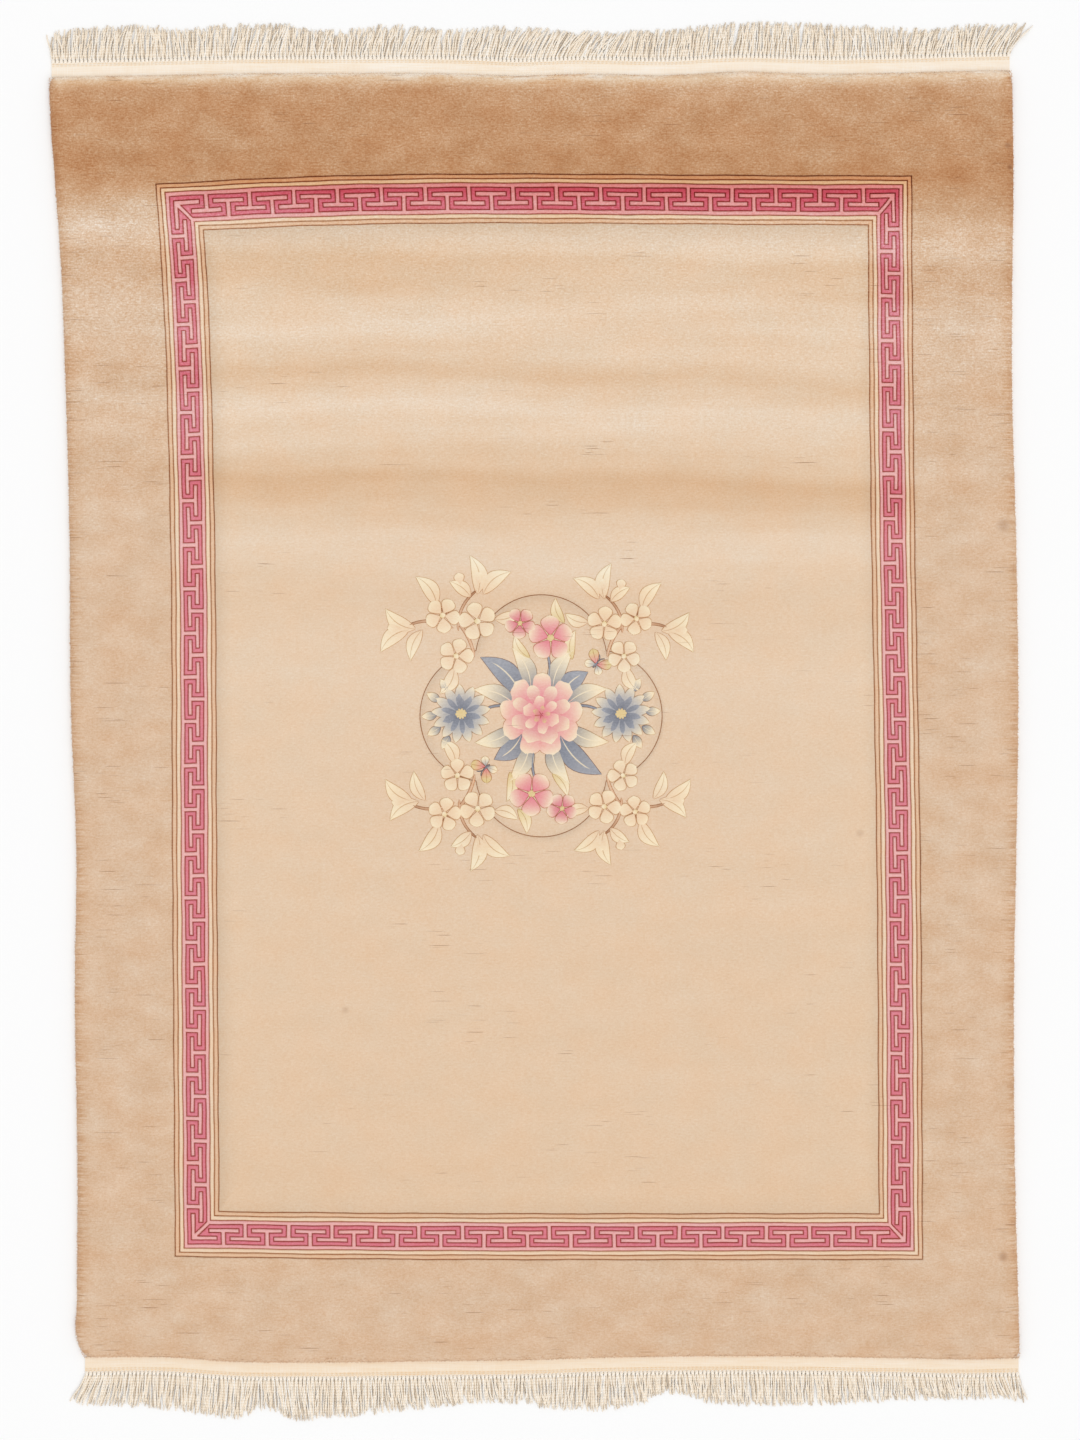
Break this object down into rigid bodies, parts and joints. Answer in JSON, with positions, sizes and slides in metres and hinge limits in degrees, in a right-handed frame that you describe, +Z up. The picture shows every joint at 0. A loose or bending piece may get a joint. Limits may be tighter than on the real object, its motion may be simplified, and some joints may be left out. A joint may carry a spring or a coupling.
{
  "type": "chinese rug",
  "caption": "Hand knotted wool pile rug, beige, with a carved pink fret border, a flower medallion in the field and a cream woven band with a knotted fringe at each end.",
  "frame": {"origin": "on the floor, at the middle of the rug's box, fringes included", "axes": "+X across the rug to the right of the picture, +Y along the rug to its head end, +Z up out of the pile"},
  "size_m": [1.8546, 2.6602, 0.016],
  "materials": {
    "wool_pile": "dense clipped wool pile, beige, with carved lines and pink, cream and slate motifs",
    "cotton_fringe": "undyed cream cotton, flat woven band with plied and knotted yarns"
  },
  "bodies": {
    "root": {"pile_body": "wool_pile", "head_fringe": "cotton_fringe", "foot_fringe": "cotton_fringe"}
  },
  "joints": []
}
